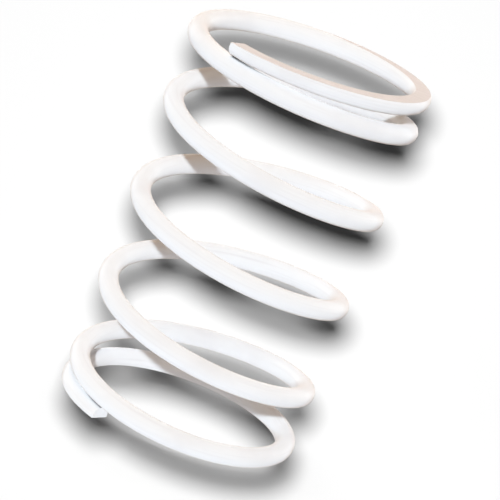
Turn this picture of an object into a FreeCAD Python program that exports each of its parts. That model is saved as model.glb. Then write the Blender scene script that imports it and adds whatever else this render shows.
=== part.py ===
import FreeCAD, Part
import math
import os

# Driven pulley spring: one left-hand compression coil of round wire.
# It stands on its lower ground end, with the coil's axis on Z and the origin in that face.
# Both ends are closed, so the last turn lies against its neighbour, and both are ground flat.

doc = FreeCAD.newDocument("DrivenPulleySpring")
sheet = doc.addObject("Spreadsheet::Sheet", "Sizes")

# Lengths are in millimetres, leads in millimetres per turn and angles in degrees.
SIZES = [
    ("wire_diameter", 5.0),
    ("mean_diameter", 55.5),
    ("free_length", 98.0),
    ("total_turns", 6.0),
    ("tip_angle", 232.0),
    ("closing_gap", 0.1),
    ("lower_tip_thickness", 2.8),
    ("lower_closed_lead", 3.5),
    ("lower_closed_turns", 0.68),
    ("lower_opening_turns", 0.71),
    ("upper_tip_thickness", 3.2),
    ("upper_closed_lead", 2.6),
    ("upper_closed_turns", 0.3),
    ("upper_opening_turns", 0.67),
]
for row, (alias, value) in enumerate(SIZES, start=1):
    sheet.set("A%d" % row, alias)
    sheet.set("B%d" % row, str(value))
    sheet.setAlias("B%d" % row, alias)
doc.recompute()

wire_radius = sheet.wire_diameter / 2
coil_radius = sheet.mean_diameter / 2
half_turns = sheet.total_turns / 2


def share_done(turns, start, end):
    """Part of the way from start to end, from 0 to 1."""
    return min(max((turns - start) / (end - start), 0), 1)


def eased(turns, start, end):
    """Smooth step from 0 at start to 1 at end."""
    share = share_done(turns, start, end)
    return 3 * share ** 2 - 2 * share ** 3


def eased_area(turns, start, end):
    """Area under the smooth step up to the given turns."""
    share = share_done(turns, start, end)
    return (end - start) * (share ** 3 - share ** 4 / 2) + max(turns - end, 0)


class ClosedEnd:
    """One end of the coil, counted in turns from its tip."""

    def __init__(self, tip_thickness, closed_lead, closed_turns, opening_turns):
        self.tip_height = tip_thickness - wire_radius
        self.closed_lead = closed_lead
        self.closed_turns = closed_turns
        self.opened_turns = 1 + opening_turns
        # After one turn the wire has climbed past its own tip by its diameter and the gap.
        first_rise = sheet.wire_diameter + sheet.closing_gap
        self.passing_lead = closed_lead + 2 * (first_rise - closed_lead) / (1 - closed_turns)

    def lead(self, turns, active_lead):
        """Lead of the wire: nearly flat, then passing the tip, then fully open."""
        passing = (self.passing_lead - self.closed_lead) * eased(turns, self.closed_turns, 1)
        opening = (active_lead - self.passing_lead) * eased(turns, 1, self.opened_turns)
        return self.closed_lead + passing + opening

    def rise(self, turns, active_lead):
        """Height that the wire has climbed since the tip."""
        passing = (self.passing_lead - self.closed_lead) * eased_area(turns, self.closed_turns, 1)
        opening = (active_lead - self.passing_lead) * eased_area(turns, 1, self.opened_turns)
        return self.closed_lead * turns + passing + opening


lower_end = ClosedEnd(
    sheet.lower_tip_thickness,
    sheet.lower_closed_lead,
    sheet.lower_closed_turns,
    sheet.lower_opening_turns,
)
upper_end = ClosedEnd(
    sheet.upper_tip_thickness,
    sheet.upper_closed_lead,
    sheet.upper_closed_turns,
    sheet.upper_opening_turns,
)

# The active turns climb whatever height the two ends leave, and their lead follows from it.
climb = sheet.free_length - lower_end.tip_height - upper_end.tip_height
rise_with_none = lower_end.rise(half_turns, 0) + upper_end.rise(half_turns, 0)
rise_with_one = lower_end.rise(half_turns, 1) + upper_end.rise(half_turns, 1)
active_lead = (climb - rise_with_none) / (rise_with_one - rise_with_none)


def wire_station(turns):
    """Centre and direction of the wire, in turns from the lower tip. The coil winds left-hand."""
    if turns <= half_turns:
        height = lower_end.tip_height + lower_end.rise(turns, active_lead)
        lead = lower_end.lead(turns, active_lead)
    else:
        left = sheet.total_turns - turns
        height = sheet.free_length - upper_end.tip_height - upper_end.rise(left, active_lead)
        lead = upper_end.lead(left, active_lead)
    angle = math.radians(sheet.tip_angle - 360 * turns)
    outward = FreeCAD.Vector(math.cos(angle), math.sin(angle), 0)
    along = FreeCAD.Vector(outward.y, -outward.x, lead / (2 * math.pi * coil_radius))
    return outward * coil_radius + FreeCAD.Vector(0, 0, height), along.normalize()


def arc_from(start, direction, end):
    """Circular arc that leaves start in the given direction and reaches end."""
    chord = end - start
    turned = chord.getAngle(direction)
    side = direction - chord * (direction.dot(chord) / chord.dot(chord))
    bulge = side.normalize() * (chord.Length / 2 * math.tan(turned / 2))
    return Part.Arc(start, (start + end) / 2 + bulge, end).toShape()


def joined_arcs(start, start_direction, end, end_direction):
    """Two arcs that meet smoothly and join two stations in their own directions."""
    chord = end - start
    square = 2 * (1 - start_direction.dot(end_direction))
    linear = 2 * chord.dot(start_direction + end_direction)
    reach = (math.sqrt(linear ** 2 + 4 * square * chord.dot(chord)) - linear) / (2 * square)
    meeting = (start + end + (start_direction - end_direction) * reach) / 2
    first = arc_from(start, start_direction, meeting)
    second = arc_from(end, end_direction * -1, meeting)
    return [first, second]


STATIONS_PER_TURN = 6
spans = round(sheet.total_turns * STATIONS_PER_TURN)
stations = [wire_station(sheet.total_turns * index / spans) for index in range(spans + 1)]
arcs = []
for (start, start_direction), (end, end_direction) in zip(stations, stations[1:]):
    arcs += joined_arcs(start, start_direction, end, end_direction)

centre_line = doc.addObject("Part::Feature", "CentreLine")
centre_line.Shape = Part.Wire(Part.sortEdges(arcs)[0])

section = doc.addObject("Part::Circle", "WireSection")
section.setExpression("Radius", "Sizes.wire_diameter / 2")
tip, tip_direction = stations[0]
section.Placement = FreeCAD.Placement(
    tip, FreeCAD.Rotation(FreeCAD.Vector(0, 0, 1), tip_direction)
)

wire = doc.addObject("Part::Sweep", "WoundWire")
wire.Sections = [section]
wire.Spine = (centre_line, ["Edge%d" % (index + 1) for index in range(len(arcs))])
wire.Solid = True
wire.Frenet = True
wire.Transition = "Transformed"

# Grinding leaves only what lies between the two seats, which are the free length apart.
kept_height = doc.addObject("Part::Cylinder", "GroundEnvelope")
kept_height.setExpression("Radius", "Sizes.mean_diameter / 2 + Sizes.wire_diameter")
kept_height.setExpression("Height", "Sizes.free_length")

spring = doc.addObject("Part::Common", "GroundCoil")
spring.Base = wire
spring.Tool = kept_height
spring.Label = "coil_spring"

doc.recompute()

for item in doc.Objects:
    if "Invalid" in item.State or "Error" in item.State:
        raise RuntimeError("%s failed: %s" % (item.Name, item.State))

shape = spring.Shape
section_area = math.pi * wire_radius ** 2
if shape.isNull() or not shape.isValid() or len(shape.Solids) != 1:
    raise RuntimeError("coil_spring is not one valid solid")
flat_faces = [face for face in shape.Faces if isinstance(face.Surface, Part.Plane)]
seats = [face for face in flat_faces if face.Area > section_area]
if len(seats) != 2:
    raise RuntimeError("grinding left %d seats" % len(seats))

wire_length = centre_line.Shape.Length
swept_share = wire.Shape.Volume / (section_area * wire_length)
print("active lead %.3f mm" % active_lead)
print("wire length %.1f mm in %d arcs" % (wire_length, len(arcs)))
print("swept volume over section times length %.6f" % swept_share)
print("seat areas %.1f and %.1f mm2" % (seats[0].Area, seats[1].Area))

os.makedirs("parts", exist_ok=True)
shape.exportStep("parts/%s.step" % spring.Label)
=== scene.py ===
import bpy
import math
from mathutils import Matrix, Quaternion, Vector


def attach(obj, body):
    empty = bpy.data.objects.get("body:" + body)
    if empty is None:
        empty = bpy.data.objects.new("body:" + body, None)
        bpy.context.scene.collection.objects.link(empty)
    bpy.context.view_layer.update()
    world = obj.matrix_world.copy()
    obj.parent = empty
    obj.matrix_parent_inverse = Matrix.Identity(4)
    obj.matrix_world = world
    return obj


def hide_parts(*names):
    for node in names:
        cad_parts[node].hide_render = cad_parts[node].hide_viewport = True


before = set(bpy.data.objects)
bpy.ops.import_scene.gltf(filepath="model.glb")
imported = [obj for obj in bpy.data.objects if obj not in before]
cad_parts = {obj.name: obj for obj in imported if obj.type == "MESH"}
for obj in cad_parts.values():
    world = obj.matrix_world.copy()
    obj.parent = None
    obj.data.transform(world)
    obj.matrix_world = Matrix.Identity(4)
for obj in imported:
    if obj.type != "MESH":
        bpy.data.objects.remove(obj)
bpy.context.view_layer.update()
scene = bpy.context.scene


def clearSelection():
    if bpy.context.object and bpy.context.object.mode != "OBJECT":
        bpy.ops.object.mode_set(mode="OBJECT")
    bpy.ops.object.select_all(action="DESELECT")


def applyPlace(piece):
    clearSelection()
    piece.select_set(True)
    bpy.context.view_layer.objects.active = piece
    bpy.ops.object.transform_apply(location=True, rotation=True, scale=True)


# one wire, closed at both ends and ground flat; lengths in metres, leads in metres per turn
coil = {
    "wire": 0.005,
    "middleDiameter": 0.0555,
    "freeLength": 0.098,
    "turns": 6.0,
    "tipAngle": 232.0,
    "closingGap": 0.0001,
    "lowerEnd": {"tip": 0.0028, "lead": 0.0035, "closed": 0.68, "opening": 0.71},
    "upperEnd": {"tip": 0.0032, "lead": 0.0026, "closed": 0.30, "opening": 0.67},
    "pointsPerTurn": 24,
    "stepsPerPoint": 8,
    "roundSteps": 28,  # gives 60 points round the wire
    "smoothAngle": 20,
}


def easedLead(turns, start, end):
    share = min(max((turns - start) / (end - start), 0), 1)
    return 3 * share ** 2 - 2 * share ** 3


def easedRise(turns, start, end):
    share = min(max((turns - start) / (end - start), 0), 1)
    return (end - start) * (share ** 3 - share ** 4 / 2) + max(turns - end, 0)


def passingLead(end):
    # steep enough that after one turn the wire clears its own tip
    missing = coil["wire"] + coil["closingGap"] - end["lead"]
    return end["lead"] + 2 * missing / (1 - end["closed"])


def endLead(end, turns, activeLead):
    # nearly flat at the tip, then up past the tip, then open
    passing = passingLead(end)
    lead = end["lead"] + (passing - end["lead"]) * easedLead(turns, end["closed"], 1)
    return lead + (activeLead - passing) * easedLead(turns, 1, 1 + end["opening"])


def endRise(end, turns, activeLead):
    passing = passingLead(end)
    rise = end["lead"] * turns + (passing - end["lead"]) * easedRise(turns, end["closed"], 1)
    return rise + (activeLead - passing) * easedRise(turns, 1, 1 + end["opening"])


# the active turns climb what the two ends leave of the free length
lower, upper = coil["lowerEnd"], coil["upperEnd"]
half = coil["turns"] / 2
lowerTip = lower["tip"] - coil["wire"] / 2
upperTip = coil["freeLength"] - upper["tip"] + coil["wire"] / 2
riseAtNone = endRise(lower, half, 0) + endRise(upper, half, 0)
riseAtOne = endRise(lower, half, 1) + endRise(upper, half, 1)
activeLead = (upperTip - lowerTip - riseAtNone) / (riseAtOne - riseAtNone)


def wirePoint(turns):
    # place and direction of the wire's middle, counted in turns from the lower tip
    if turns <= half:
        height = lowerTip + endRise(lower, turns, activeLead)
        lead = endLead(lower, turns, activeLead)
    else:
        height = upperTip - endRise(upper, coil["turns"] - turns, activeLead)
        lead = endLead(upper, coil["turns"] - turns, activeLead)
    angle = math.radians(coil["tipAngle"] - 360 * turns)
    radius = coil["middleDiameter"] / 2
    place = Vector((radius * math.cos(angle), radius * math.sin(angle), height))
    direction = Vector((math.sin(angle), -math.cos(angle), lead / (2 * math.pi * radius)))
    return place, direction


def windWire():
    clearSelection()
    bpy.ops.curve.primitive_bezier_curve_add(location=(0, 0, 0))
    wire = bpy.context.object
    wire.name = "coilWire"
    line = wire.data.splines[0]
    count = round(coil["turns"] * coil["pointsPerTurn"])
    line.bezier_points.add(count + 1 - len(line.bezier_points))
    step = 2 * math.pi / coil["pointsPerTurn"]
    reach = coil["middleDiameter"] / 2 * 4 / 3 * math.tan(step / 4)  # handle length of a round arc
    for index, point in enumerate(line.bezier_points):
        place, direction = wirePoint(coil["turns"] * index / count)
        point.handle_left_type = point.handle_right_type = "FREE"
        point.co = place
        point.handle_left = place - direction * reach
        point.handle_right = place + direction * reach
    wire.data.twist_mode = "Z_UP"
    wire.data.resolution_u = coil["stepsPerPoint"]
    wire.data.bevel_depth = coil["wire"] / 2
    wire.data.bevel_resolution = coil["roundSteps"]
    wire.data.use_fill_caps = True
    bpy.ops.object.convert(target="MESH")
    return bpy.context.object


def grindEnds():
    bpy.ops.object.mode_set(mode="EDIT")
    bpy.ops.mesh.select_all(action="SELECT")
    bpy.ops.mesh.remove_doubles(threshold=0.000001)  # joins the caps to the wire
    for height, side in ((0, -1), (coil["freeLength"], 1)):
        bpy.ops.mesh.select_all(action="SELECT")
        bpy.ops.mesh.bisect(
            plane_co=(0, 0, height),
            plane_no=(0, 0, side),
            use_fill=True,
            clear_outer=True,
            threshold=0.0000001,  # the usual one would leave the seats uneven
        )
    bpy.ops.mesh.select_all(action="SELECT")
    bpy.ops.mesh.normals_make_consistent(inside=False)
    bpy.ops.object.mode_set(mode="OBJECT")
    bpy.ops.object.shade_smooth_by_angle(angle=math.radians(coil["smoothAngle"]))


spring = windWire()
grindEnds()
applyPlace(spring)
print("coil wound and ground:", len(spring.data.vertices), "points")

# white coat over the wire; sizes and depths in metres
coating = {
    "white": (0.90, 0.90, 0.905, 1),
    "thinner": (0.835, 0.825, 0.83, 1),  # where the coat is a little thin
    "rimShade": (0.71, 0.63, 0.58, 1),  # painted shade: the coat is painted darker and warmer where the surface turns away from the view
    "rimShadeFrom": 0.68,
    "seat": (0.71, 0.645, 0.615, 1),  # painted shade: the ground flats are painted a darker, warmer tone than the white coat
    "seatMark": (0.63, 0.565, 0.535, 1),
    "seatDepth": (0.00001, 0.00003),
    "stoneTurn": 35,
    "stoneScale": (60, 2600, 60),
    # painted shade in the narrow crevice between turns that lie close together
    "creviceShade": (0.15, 0.14, 0.145, 1),
    "creviceShadeReach": 0.0007,
    "roughness": (0.46, 0.58),
    "matt": 1.0,
    "shine": 0.2,
    "patchScale": 60.0,
    "roughScale": 300.0,
    "peelSize": 0.0012,
    "peelDepth": 0.000016,
    "lineWidth": 0.0006,
    "lineLength": 0.03,
    "lineDepth": 0.000020,
    "edgeRound": 0.00022,
}


def addNode(tree, kind, x, y, **settings):
    node = tree.nodes.new(kind)
    node.location = (x, y)
    for name, value in settings.items():
        setattr(node, name, value)
    return node


def feed(tree, socket, value):
    # a plain number or colour is set on the socket, and another node's output is linked
    if isinstance(value, bpy.types.NodeSocket):
        tree.links.new(value, socket)
    else:
        socket.default_value = value


def calc(tree, operation, x, y, first, second=0.0):
    node = addNode(tree, "ShaderNodeMath", x, y, operation=operation)
    feed(tree, node.inputs[0], first)
    feed(tree, node.inputs[1], second)
    return node.outputs[0]


def between(tree, x, y, value, low, high, toLow=0.0, toHigh=1.0, step="LINEAR"):
    node = addNode(tree, "ShaderNodeMapRange", x, y, interpolation_type=step)
    names = ("Value", "From Min", "From Max", "To Min", "To Max")
    for name, item in zip(names, (value, low, high, toLow, toHigh)):
        feed(tree, node.inputs[name], item)
    return node.outputs["Result"]


def blendColours(tree, x, y, share, first, second):
    node = addNode(tree, "ShaderNodeMix", x, y, data_type="RGBA")
    feed(tree, node.inputs["Factor"], share)
    feed(tree, node.inputs["A"], first)
    feed(tree, node.inputs["B"], second)
    return node.outputs["Result"]


def blendShaders(tree, x, y, share, first, second):
    node = addNode(tree, "ShaderNodeMixShader", x, y)
    for socket, item in zip(node.inputs, (share, first, second)):
        feed(tree, socket, item)
    return node.outputs[0]


def noise(tree, x, y, vector, scale, detail=2.0):
    node = addNode(tree, "ShaderNodeTexNoise", x, y)
    feed(tree, node.inputs["Vector"], vector)
    feed(tree, node.inputs["Scale"], scale)
    feed(tree, node.inputs["Detail"], detail)
    return node.outputs["Fac"]


def bump(tree, x, y, depth, height, normal):
    node = addNode(tree, "ShaderNodeBump", x, y)
    feed(tree, node.inputs["Distance"], depth)
    feed(tree, node.inputs["Height"], height)
    feed(tree, node.inputs["Normal"], normal)
    return node.outputs[0]


def straightWire(tree):
    # the wire's own map laid out as if it were straight, so that no seam shows round it
    own = addNode(tree, "ShaderNodeUVMap", -2400, -300, uv_map="UVMap")
    split = addNode(tree, "ShaderNodeSeparateXYZ", -2200, -300)
    feed(tree, split.inputs[0], own.outputs["UV"])
    length = coil["turns"] * math.pi * coil["middleDiameter"]
    along = calc(
        tree, "MULTIPLY", -2000, -200, split.outputs["X"], length / coating["lineLength"]
    )
    around = calc(tree, "MULTIPLY", -2000, -400, split.outputs["Y"], 2 * math.pi)
    across = coil["wire"] / 2 / coating["lineWidth"]
    outward = calc(tree, "COSINE", -1800, -400, around)
    upward = calc(tree, "SINE", -1800, -600, around)
    place = addNode(tree, "ShaderNodeCombineXYZ", -1400, -400)
    feed(tree, place.inputs[0], along)
    feed(tree, place.inputs[1], calc(tree, "MULTIPLY", -1600, -400, outward, across))
    feed(tree, place.inputs[2], calc(tree, "MULTIPLY", -1600, -600, upward, across))
    return place.outputs[0]


def seatShare(tree, place):
    # 1 on the two ground flats, 0 elsewhere
    height = addNode(tree, "ShaderNodeSeparateXYZ", -2200, 500)
    feed(tree, height.inputs[0], place)
    full, none = coating["seatDepth"]
    top = coil["freeLength"]
    upperSeat = between(tree, -2000, 600, height.outputs["Z"], top - none, top - full)
    lowerSeat = between(tree, -2000, 300, height.outputs["Z"], none, full)
    return calc(tree, "MAXIMUM", -1800, 500, upperSeat, lowerSeat)


def shadedSeatStoneMarks(tree, place):
    # the ground flats' painted shade, a darker warm tone, with fine straight marks that the
    # grinding stone left under the coat
    stretch = addNode(tree, "ShaderNodeMapping", -1600, 800)
    stretch.inputs["Rotation"].default_value = (0, 0, math.radians(coating["stoneTurn"]))
    stretch.inputs["Scale"].default_value = coating["stoneScale"]
    feed(tree, stretch.inputs["Vector"], place)
    marks = noise(tree, -1400, 800, stretch.outputs["Vector"], 1.0, 2.0)
    share = between(tree, -1200, 800, marks, 0.45, 0.75)
    return blendColours(tree, -600, 700, share, coating["seat"], coating["seatMark"])


def whiteCoating():
    material = bpy.data.materials.new("whiteCoating")
    material.use_nodes = True
    tree = material.node_tree
    surface = tree.nodes["Principled BSDF"]
    surface.location = (600, 0)
    tree.nodes["Material Output"].location = (900, 0)
    place = addNode(tree, "ShaderNodeTexCoord", -2400, 200).outputs["Object"]

    # even white, slightly thinner in soft patches and along faint lines of the wire
    soft = noise(tree, -1400, 400, place, coating["patchScale"], 3.0)
    patches = between(tree, -1200, 400, soft, 0.5, 0.8)
    lines = noise(tree, -1200, -400, straightWire(tree), 1.0, 3.0)
    streaks = between(tree, -1000, 200, lines, 0.52, 0.75, 0.0, 0.8)
    thin = calc(tree, "MAXIMUM", -800, 400, patches, streaks)
    coat = blendColours(tree, -600, 400, thin, coating["white"], coating["thinner"])
    # painted shade: a darker, warmer colour is blended in towards the outline, by the angle to the
    # view
    away = addNode(tree, "ShaderNodeLayerWeight", -1000, 1100)
    away.inputs["Blend"].default_value = 0.5
    rimShade = between(tree, -800, 1100, away.outputs["Facing"], coating["rimShadeFrom"], 1.0)
    coat = blendColours(tree, -400, 400, rimShade, coat, coating["rimShade"])
    # painted shade: the ground flats take the darker, warmer seat tone
    ground = shadedSeatStoneMarks(tree, place)
    colour = blendColours(tree, -300, 500, seatShare(tree, place), coat, ground)

    # painted shade: the colour goes dark where two turns lie close against each other
    closeness = addNode(tree, "ShaderNodeAmbientOcclusion", -900, -50, samples=8, only_local=True)
    closeness.inputs["Distance"].default_value = coating["creviceShadeReach"]
    unshaded = between(tree, -600, -50, closeness.outputs["AO"], 0.15, 0.7)
    colour = blendColours(tree, 0, 300, unshaded, coating["creviceShade"], colour)
    feed(tree, surface.inputs["Base Color"], colour)

    grain = noise(tree, -600, -250, place, coating["roughScale"])
    rough = between(tree, -300, 0, grain, 0.3, 0.7, *coating["roughness"])
    feed(tree, surface.inputs["Roughness"], rough)
    surface.inputs["Diffuse Roughness"].default_value = coating["matt"]
    surface.inputs["Specular IOR Level"].default_value = coating["shine"]

    # relief: edges rounded by the coat, lines of the wire, orange peel of the coat
    rounded = addNode(tree, "ShaderNodeBevel", -600, -700, samples=6)
    rounded.inputs["Radius"].default_value = coating["edgeRound"]
    drawn = bump(tree, -300, -500, coating["lineDepth"], lines, rounded.outputs[0])
    orangePeel = noise(tree, -600, -450, place, 1 / coating["peelSize"])
    peel = bump(tree, 0, -300, coating["peelDepth"], orangePeel, drawn)
    feed(tree, surface.inputs["Normal"], peel)
    return material


spring.data.materials.clear()
spring.data.materials.append(whiteCoating())
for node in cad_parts.values():
    node.data.materials.clear()
    node.data.materials.append(spring.data.materials[0])
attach(spring, "root")
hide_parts("coil_spring")
print("coating done")

# where the photograph was taken from, and how far the camera leans, in degrees
shot = {
    "place": (0, -0.602291, 0.222045),
    "aim": (0.0025436, -0.0000107, 0.046292),
    "lean": 20.875,
    "lens": 185.4,
}


def addCamera():
    clearSelection()
    place = Vector(shot["place"])
    level = (Vector(shot["aim"]) - place).to_track_quat("-Z", "Y")
    turn = level @ Quaternion((0, 0, 1), math.radians(shot["lean"]))
    bpy.ops.object.camera_add(location=place, rotation=turn.to_euler())
    camera = bpy.context.object
    camera.name = "camera"
    camera.data.sensor_width = 36
    camera.data.lens = shot["lens"]
    camera.data.clip_start = 0.01
    camera.data.dof.use_dof = False
    scene.camera = camera
    return camera


camera = addCamera()
print("camera done")

# pale floor that thins out round the coil, and a pale backdrop well behind it
stage = {
    "floorSize": 0.6,
    "floorColour": (0.8, 0.8, 0.8, 1),
    "floorLift": 0.1,
    "floorCover": 0.12,  # how much of the backdrop the floor hides
    "floorFade": (0.05, 0.14),
    "backdropSize": 2.04,
    "backdropBehind": 3.5,
    "backdropFade": (0.66, 0.97),
    "backdropColour": (0.8, 0.8, 0.8, 1),
}


def addSheet(name, size, colour, roughness, shine, **place):
    clearSelection()
    bpy.ops.mesh.primitive_circle_add(vertices=96, radius=size / 2, fill_type="NGON", **place)
    sheet = bpy.context.object
    sheet.name = name
    material = bpy.data.materials.new("pale" + name.capitalize())
    material.use_nodes = True
    surface = material.node_tree.nodes["Principled BSDF"]
    surface.inputs["Base Color"].default_value = colour
    surface.inputs["Roughness"].default_value = roughness
    surface.inputs["Specular IOR Level"].default_value = shine
    sheet.data.materials.append(material)
    sheet.visible_shadow = False
    return sheet, material.node_tree, surface


def fadeAway(tree, surface, fade, cover):
    # the sheet thins out with the distance from its own middle
    away = addNode(tree, "ShaderNodeVectorMath", -1000, -400, operation="LENGTH")
    feed(tree, away.inputs[0], addNode(tree, "ShaderNodeTexCoord", -1200, -400).outputs["Object"])
    thin = between(tree, -800, -400, away.outputs["Value"], *fade, cover, 0, "SMOOTHSTEP")
    clear = addNode(tree, "ShaderNodeBsdfTransparent", 0, -400).outputs[0]
    return blendShaders(tree, 400, 0, thin, clear, surface.outputs[0])


def seenRays(tree):
    # rays that show the surroundings: straight, mirrored or through glass
    rays = addNode(tree, "ShaderNodeLightPath", -900, 300).outputs
    mirrored = calc(
        tree, "MAXIMUM", -700, 300, rays["Is Glossy Ray"], rays["Is Transmission Ray"]
    )
    return calc(tree, "MAXIMUM", -500, 300, rays["Is Camera Ray"], mirrored)


def addFloor():
    floor, tree, surface = addSheet(
        "floor", stage["floorSize"], stage["floorColour"], 0.9, 0.1, location=(0, 0, 0)
    )
    surface.inputs["Emission Color"].default_value = (1, 1, 1, 1)
    lift = calc(tree, "MULTIPLY", -300, 0, seenRays(tree), stage["floorLift"])
    feed(tree, surface.inputs["Emission Strength"], lift)
    faded = fadeAway(tree, surface, stage["floorFade"], stage["floorCover"])
    feed(tree, tree.nodes["Material Output"].inputs["Surface"], faded)
    return floor


def addBackdrop():
    # square to the photograph's view, and clear from behind
    facing = camera.rotation_euler
    middle = Vector(shot["aim"]) - facing.to_matrix() @ Vector((0, 0, stage["backdropBehind"]))
    backdrop, tree, surface = addSheet(
        "backdrop", stage["backdropSize"], stage["backdropColour"], 1, 0,
        location=middle, rotation=facing,
    )
    faded = fadeAway(tree, surface, stage["backdropFade"], 1)
    side = addNode(tree, "ShaderNodeNewGeometry", 200, 300).outputs["Backfacing"]
    behind = addNode(tree, "ShaderNodeBsdfTransparent", 200, -600).outputs[0]
    oneSided = blendShaders(tree, 600, 0, side, faded, behind)
    feed(tree, tree.nodes["Material Output"].inputs["Surface"], oneSided)
    backdrop.visible_diffuse = False
    return backdrop


floor = addFloor()
backdrop = addBackdrop()
print("floor and backdrop done")

# each soft lamp comes from a turn to the right of the photograph's side and a height
# above level, with its softness, all in degrees
light = {
    "onCoil": {
        "key": {"from": (-5, 23), "softness": 1.5, "strength": 2.08, "colour": (0.815, 0.91, 0.99)},
        "front": {"from": (0, 20), "softness": 25, "strength": 0.52, "colour": (0.95, 0.96, 1.0)},
        "low": {"from": (0, -40), "softness": 90, "strength": 0.72, "colour": (1.0, 0.94, 0.92)},
        "warm": {"from": (-20, 75), "softness": 60, "strength": 0.82, "colour": (1.0, 0.57, 0.14)},
        "back": {"from": (180, 45), "softness": 60, "strength": 0.25, "colour": (1.0, 0.30, 0.04)},
        "right": {"from": (90, 5), "softness": 120, "strength": 0.20, "colour": (1.0, 0.70, 0.55)},
        "under": {"from": (0, -88), "softness": 120, "strength": 0.5, "colour": (1.0, 0.80, 0.68)},
        "rearLeft": {"from": (-138, 8), "softness": 40, "strength": 1, "colour": (0.98, 0.99, 1)},
        "rearRight": {"from": (138, 8), "softness": 40, "strength": 1, "colour": (0.98, 0.99, 1)},
        "rear": {"from": (180, -5), "softness": 40, "strength": 0.7, "colour": (0.98, 0.99, 1.0)},
    },
    "onFloor": {"from": (-160, 80), "softness": 25, "strength": 4, "colour": (1, 1, 1)},
    "onBackdrop": {"beside": (-0.0002, 0.0068), "size": 0.0049, "power": 827},
    "surroundings": 0.04,
}


def addSun(name, lamp):
    clearSelection()
    turn, height = (math.radians(angle) for angle in lamp["from"])
    flat = math.cos(height)
    direction = Vector((math.sin(turn) * flat, -math.cos(turn) * flat, math.sin(height)))
    facing = direction.to_track_quat("Z", "Y").to_euler()
    bpy.ops.object.light_add(type="SUN", location=direction, rotation=facing)
    sun = bpy.context.object
    sun.name = name
    sun.data.color = lamp["colour"]
    sun.data.energy = lamp["strength"]
    sun.data.angle = math.radians(lamp["softness"])
    return sun


def addBackdropLamp(lamp):
    # close above the camera, so that the coil's own soft shadow falls just below it
    clearSelection()
    beside = camera.rotation_euler.to_matrix() @ Vector((*lamp["beside"], 0))
    bpy.ops.object.light_add(type="POINT", location=camera.location + beside)
    point = bpy.context.object
    point.name = "backdropLamp"
    point.data.shadow_soft_size = lamp["size"]
    point.data.energy = lamp["power"]
    return point


def lightOnly(lamp, piece):
    lit = bpy.data.collections.new(lamp.name + "Lights")
    lit.objects.link(piece)
    lamp.light_linking.receiver_collection = lit


def addGlow(tree, strength, y):
    glow = addNode(tree, "ShaderNodeBackground", 0, y)
    glow.inputs["Color"].default_value = (1, 1, 1, 1)
    glow.inputs["Strength"].default_value = strength
    return glow.outputs[0]


def addWorld():
    world = bpy.data.worlds.new("studio")
    scene.world = world
    world.use_nodes = True
    tree = world.node_tree
    dim = addGlow(tree, light["surroundings"], 0)
    seen = addGlow(tree, 1.0, -200)
    mixed = blendShaders(tree, 200, 0, seenRays(tree), dim, seen)
    feed(tree, tree.nodes["World Output"].inputs["Surface"], mixed)


for name, lamp in light["onCoil"].items():
    lightOnly(addSun(name + "Lamp", lamp), spring)
lightOnly(addSun("floorLamp", light["onFloor"]), floor)
lightOnly(addBackdropLamp(light["onBackdrop"]), backdrop)
addWorld()
scene.view_settings.view_transform = "Standard"
print("lamps done")

bpy.context.view_layer.update()
